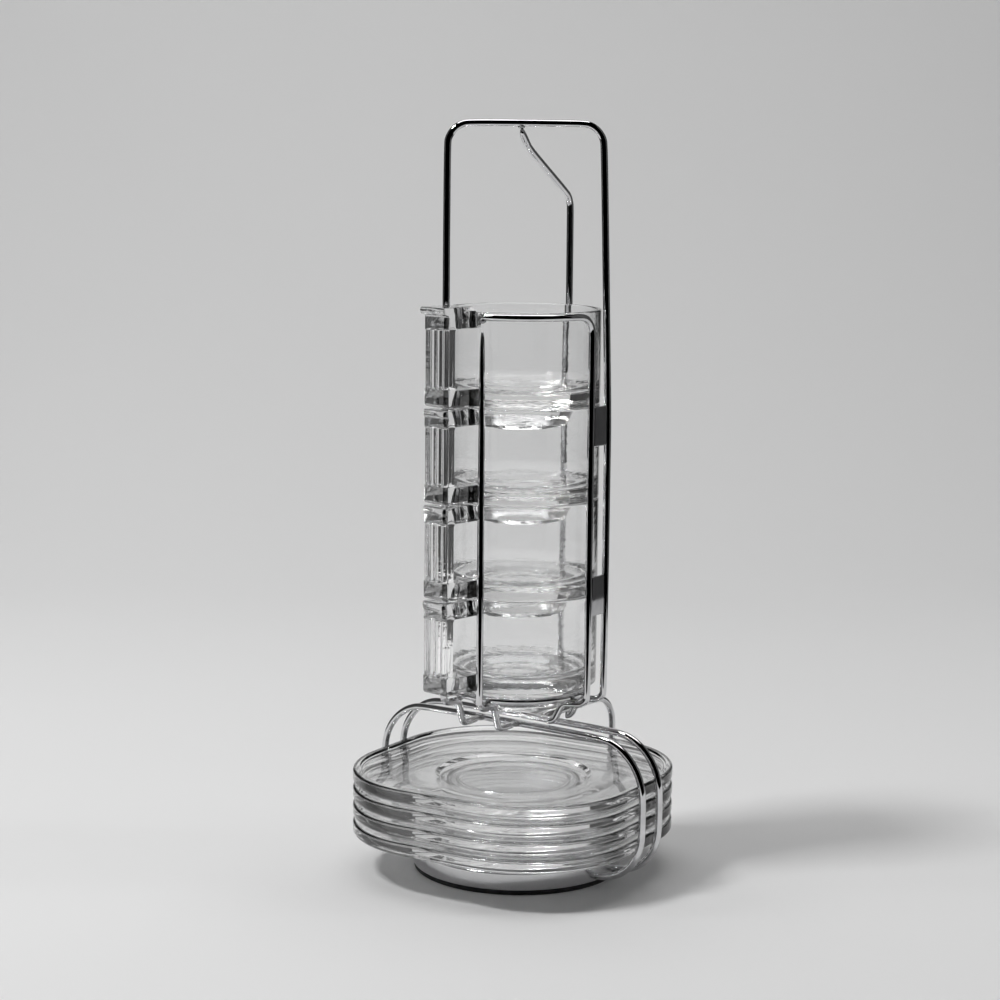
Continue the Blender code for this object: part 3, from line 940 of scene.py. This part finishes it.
@dataclass
class CupStack:
    """Four straight espresso cups of pressed glass with reeded handles.

    The bends are the radii at the inner corners of each outline, in millimetres.
    """

    count: int = 4
    steps: int = 144
    radius: float = 33.0 * MM
    height: float = 49.5 * MM
    wall: float = 1.8 * MM
    taper: float = 0.8 * MM
    floor: float = 15.5 * MM
    foot: float = 19.6 * MM
    foot_top: float = 23.6 * MM
    recess: float = 2.0 * MM
    step_z: float = 8.6 * MM
    shoulder: float = 10.1 * MM
    reach: float = 18.2 * MM
    grip_width: float = 13.5 * MM
    post: float = 4.0 * MM
    grip_low: float = 11.3 * MM
    lower_arm: float = 7.1 * MM
    upper_arm: float = 6.1 * MM
    lip: float = 2.5 * MM
    ribs: int = 4
    rib_height: float = 0.8 * MM
    reed_cut: float = 0.65 * MM
    reed_gap: float = 0.6 * MM
    reed_fill: float = 0.485
    reed_overlap: float = 0.4 * MM
    lip_slope: float = 1.4
    low_lip: tuple[float, float] = (0.6 * MM, 0.9 * MM)
    top_lip: tuple[float, float] = (2.9 * MM, 2.7 * MM)
    body_bends: tuple[float, ...] = (30.0, 5.0, 0.7, 0.8, 1.1, 0.5, 0.4, 1.6, 0.9, 0.7, 0.8,
                                     0.8, 0.8)
    grip_bends: tuple[float, ...] = (2.0, 2.0, 1.1, 1.1, 1.0, 0.3, 0.3, 0.3, 0.3, 1.6, 0.0,
                                     0.0, 1.5, 1.5)
    glass: PressedGlass = PressedGlass("cup_glass", 0.10, 120.0, 4.0)

    def build(self) -> None:
        """Build and dress the stack."""
        finish = self.glass.make()
        turn = self.slot_turn()
        low_cup = self.cup("cup_pattern", *self.low_lip)
        top_cup = self.cup("top_cup_pattern", *self.top_lip)
        for level in range(1, self.count + 1):
            node = f"cup_{level}"
            pattern = top_cup if level == self.count else low_cup
            piece = Bench.copy(pattern, f"cup_{level}_glass")
            piece.location = (0.0, 0.0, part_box(node)[0].z)
            piece.rotation_euler = (0.0, 0.0, turn)
            Bench.settle(piece)
            Bench.dress(piece, finish, Slot.GLASS, f"{node}_body", node)
        for pattern in (low_cup, top_cup):
            bpy.data.objects.remove(pattern, do_unlink=True)

    def slot_turn(self) -> float:
        """Direction of the gap between the two front legs, where the handles stand."""
        leg_low, leg_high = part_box("front_leg")
        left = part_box("handle_frame")[0].x
        thick = leg_high.x - leg_low.x
        middle = ((leg_low.x + leg_high.x) / 2 + left + thick / 2) / 2
        return atan2(leg_low.y + thick / 2, middle)

    def body(self, name: str) -> bpy.types.Object:
        """Model a cup without its handle.

        Args:
            name: The piece's name.

        Returns:
            The closed body.
        """
        inner, deep = self.radius - self.wall, self.radius - self.wall - self.taper
        foot_in = self.foot - self.recess
        corners = [(0.0, self.floor - 0.5 * MM), (deep * 0.45, self.floor - 0.3 * MM),
                   (deep, self.floor), (inner, self.height),
                   (self.radius, self.height), (self.radius, self.shoulder),
                   (deep - 0.2 * MM, self.shoulder - 0.6 * MM), (deep - 0.6 * MM, self.step_z),
                   (self.foot_top, self.step_z), (self.foot, 0.0), (foot_in, 0.0),
                   (foot_in - 1.6 * MM, self.recess), (foot_in * 0.55, self.recess + 0.2 * MM),
                   (foot_in * 0.45, self.recess + 0.7 * MM), (0.0, self.recess + 0.8 * MM)]
        path = rounded(corners, [radius * MM for radius in self.body_bends], 10.0)
        return Bench.turned(name, path, self.steps)

    def grip(self, reach: float, rise: float) -> bpy.types.Object:
        """Model a handle along +X: a post on two arms, a thumb lip and upright reeds.

        Args:
            reach: How far the lip stands out past the post.
            rise: How far the lip stands above the arm.

        Returns:
            The closed handle.
        """
        root = self.radius - self.wall / 2
        outer = self.radius + self.reach
        post = outer - self.post
        top = self.height - 0.2 * MM
        lip_top = top + rise
        low = self.grip_low
        reeds_start = low + self.lower_arm + self.reed_gap
        reeds_end = top - self.upper_arm - self.reed_gap
        corners = [(root, top), (self.radius + self.wall, top), (self.radius + self.post, lip_top),
                   (outer + reach, lip_top), (outer + reach, lip_top - self.lip),
                   (outer, lip_top - self.lip_slope * self.lip), (outer, reeds_end),
                   (outer - self.reed_cut, reeds_end), (outer - self.reed_cut, reeds_start),
                   (outer, reeds_start), (outer, low), (root, low),
                   (root, low + self.lower_arm), (post, low + self.lower_arm),
                   (post, top - self.upper_arm), (root, top - self.upper_arm)]
        outline = rounded(corners, [radius * MM for radius in self.grip_bends], 18.0)
        piece = Bench.slab("grip", outline, self.grip_width)
        Bench.modify(piece, "BEVEL", width=0.45 * MM, segments=3, limit_method="ANGLE",
                     angle_limit=radians(50))
        Bench.unite(piece, self.reeds(outer - self.reed_cut, reeds_start, reeds_end))
        return piece

    def reeds(self, face: float, start: float, end: float) -> bpy.types.Object:
        """Model the half-round reeds on the outer face of a handle.

        Args:
            face: Distance of that face from the axis.
            start: Height of their lower ends.
            end: Height of their upper ends.

        Returns:
            The reeds as one object.
        """
        height = self.rib_height + self.reed_cut
        pitch = (self.grip_width - 1.0 * MM) / self.ribs
        bpy.ops.object.select_all(action="DESELECT")
        made = []
        for index in range(self.ribs):
            y = (index - (self.ribs - 1) / 2) * pitch
            bpy.ops.mesh.primitive_cylinder_add(
                vertices=40, radius=1.0, depth=1.0, location=(face, y, (start + end) / 2),
                scale=(height, self.reed_fill * pitch, end - start + self.reed_overlap))
            piece = bpy.context.object
            Bench.settle(piece)
            Bench.modify(piece, "BEVEL", width=0.3 * MM, segments=3, limit_method="ANGLE",
                         angle_limit=radians(60))
            made.append(piece)
        bpy.ops.object.select_all(action="DESELECT")
        for piece in made:
            piece.select_set(True)
        bpy.context.view_layer.objects.active = made[0]
        bpy.ops.object.join()
        return made[0]

    def cup(self, name: str, reach: float, rise: float) -> bpy.types.Object:
        """Model a whole cup.

        Args:
            name: The piece's name.
            reach: How far its thumb lip stands out.
            rise: How far its thumb lip stands up.

        Returns:
            The cup, upright at the origin, with its handle along +X.
        """
        piece = self.body(name)
        Bench.unite(piece, self.grip(reach, rise))
        Bench.smooth(piece, 40.0)
        return piece


# ------------------------------------------------------------------ the studio


@dataclass(frozen=True)
class Lamp:
    """One soft box.

    Attributes:
        name: Its name.
        place: Where it stands: to the camera's right, towards the camera, and up.
        aim: Height that it points at, over the stand's middle.
        size: Its two sides.
        power: Its power in watts.
    """

    name: str
    place: tuple[float, float, float]
    aim: float
    size: tuple[float, float]
    power: float


@dataclass
class Studio:
    """Pale seamless paper, soft boxes and the camera."""

    camera_place: tuple[float, float, float] = (0.56531, -0.81407, 0.30963)
    camera_turn: tuple[float, float, float] = (81.3594, -0.5665, 35.3674)
    lens: float = 85.345
    azimuth: float = radians(35)
    world: float = 0.06
    wall_back: float = 1.5
    wall_bend: float = 0.9
    wall_height: float = 2.6
    wall_width: float = 1.1
    outer_width: float = 2.6
    outer_front: float = 2.4
    front: float = 0.34
    flag_near: tuple[float, float] = (0.70, 0.30)
    flag_far: tuple[float, float] = (0.34, -0.74)
    flag_height: float = 0.9
    paper: StudioPaper = field(default_factory=StudioPaper)
    lamps: tuple[Lamp, ...] = (
        Lamp("key_box", (-0.90, 0.36, 1.55), 0.10, (0.30, 0.30), 14.5),
        Lamp("strip_left", (-1.0, 0.10, 0.45), 0.16, (0.07, 0.8), 1.6),
        Lamp("strip_right", (1.0, 0.05, 0.5), 0.16, (0.08, 0.9), 1.5),
        Lamp("wall_wash", (0.0, -0.3, 2.2), 0.0, (1.8, 1.0), 17.0),
    )

    def build(self) -> None:
        """Set up the paper, lights, world and camera."""
        self.backdrop()
        self.flags()
        for lamp in self.lamps:
            self.light(lamp)
        self.surroundings()
        self.camera()
        scene = bpy.context.scene
        scene.view_settings.view_transform = "Standard"
        scene.cycles.max_bounces = 24
        scene.cycles.transmission_bounces = 24
        scene.cycles.glossy_bounces = 12
        scene.cycles.sample_clamp_indirect = 0.0

    def in_room(self, right: float, near: float, up: float) -> Vector:
        """Turn camera-side directions into the shared frame.

        Args:
            right: To the camera's right.
            near: Towards the camera.
            up: Up.

        Returns:
            The point.
        """
        across = Vector((cos(self.azimuth), sin(self.azimuth), 0.0))
        towards = Vector((sin(self.azimuth), -cos(self.azimuth), 0.0))
        return across * right + towards * near + Vector((0.0, 0.0, up))

    def backdrop(self) -> None:
        """Model the seamless paper, and wider sheets round it that metal doesn't mirror."""
        finish = self.paper.make()
        half = self.wall_width / 2
        sweep = rounded([(-self.front, 0.0), (self.wall_back, 0.0),
                         (self.wall_back, self.wall_height)], [self.wall_bend], 4.0)
        self.sheet("paper_sweep", sweep, -half, half, finish)
        sides = [(-half - self.outer_width, -half), (half, half + self.outer_width)]
        for index, (start, end) in enumerate(sides):
            outer = self.sheet(f"outer_paper_{index + 1}", sweep, start, end, finish)
            outer.visible_glossy = False
        apron = [(-self.front - self.outer_front, 0.0), (-self.front, 0.0)]
        reach = half + self.outer_width
        outer = self.sheet("outer_paper_3", apron, -reach, reach, finish)
        outer.visible_glossy = False

    def flags(self) -> None:
        """Stand a dark card on each side, which gives the glass its dark lines."""
        finish = StudioPaper("grey_card", 0.10).make()
        for side in (-1.0, 1.0):
            ends = [(side * across, near) for across, near in (self.flag_near, self.flag_far)]
            piece = Bench.drawn("left_flag" if side < 0 else "right_flag",
                                [self.in_room(across, near, 0.002) for across, near in ends])
            bpy.ops.mesh.select_all(action="SELECT")
            move = (0.0, 0.0, self.flag_height)
            bpy.ops.mesh.extrude_region_move(TRANSFORM_OT_translate={"value": move})
            bpy.ops.object.mode_set(mode="OBJECT")
            piece.data.materials.append(finish)
            piece.visible_camera = False
            piece.visible_diffuse = False
            piece.visible_shadow = False

    def sheet(self, name: str, section: Sequence[Point], start: float, end: float,
              finish: bpy.types.Material) -> bpy.types.Object:
        """Model a sheet of paper from its section.

        Args:
            name: The sheet's name.
            section: Points of (distance behind the stand, height).
            start: Its left edge, to the camera's right.
            end: Its right edge, to the camera's right.
            finish: Its material.

        Returns:
            The sheet.
        """
        piece = Bench.drawn(name, [self.in_room(start, -back, up) for back, up in section])
        bpy.ops.mesh.select_all(action="SELECT")
        move = self.in_room(end - start, 0.0, 0.0)
        bpy.ops.mesh.extrude_region_move(TRANSFORM_OT_translate={"value": move})
        bpy.ops.mesh.select_all(action="SELECT")
        bpy.ops.mesh.normals_make_consistent(inside=False)
        bpy.ops.object.mode_set(mode="OBJECT")
        Bench.alone(piece)
        bpy.ops.object.shade_smooth()
        piece.data.materials.append(finish)
        return piece

    def light(self, lamp: Lamp) -> None:
        """Add one soft box.

        Args:
            lamp: The soft box.
        """
        data = bpy.data.lights.new(lamp.name, "AREA")
        data.shape = "RECTANGLE"
        data.size, data.size_y = lamp.size
        data.energy = lamp.power
        made = bpy.data.objects.new(lamp.name, data)
        made.location = self.in_room(*lamp.place)
        aim = Vector((0.0, 0.0, lamp.aim)) - made.location
        made.rotation_euler = aim.to_track_quat("-Z", "Y").to_euler()
        bpy.context.scene.collection.objects.link(made)

    def surroundings(self) -> None:
        """Make the room dim, so that chrome and glass keep dark edges."""
        world = bpy.data.worlds.new("dim_room")
        world.use_nodes = True
        back = world.node_tree.nodes["Background"]
        back.inputs["Color"].default_value = (1.0, 1.0, 1.0, 1.0)
        back.inputs["Strength"].default_value = self.world
        bpy.context.scene.world = world
        world.cycles_visibility.glossy = False

    def camera(self) -> None:
        """Place the camera."""
        data = bpy.data.cameras.new("camera")
        data.lens = self.lens
        data.sensor_width = 36.0
        data.clip_start, data.clip_end = 0.01, 50.0
        made = bpy.data.objects.new("camera", data)
        made.location = self.camera_place
        made.rotation_euler = [radians(angle) for angle in self.camera_turn]
        bpy.context.scene.collection.objects.link(made)
        bpy.context.scene.camera = made


def main() -> None:
    """Build every sub-assembly in order."""
    logging.basicConfig(level=logging.INFO, format="%(name)s: %(message)s")
    for part in (RoundBase(), WireStand(), TiePlates(), SaucerStack(), CupStack(), Studio()):
        log.info("building %s", type(part).__name__)
        part.build()
    bpy.context.view_layer.update()


if __name__ == "__main__":
    main()
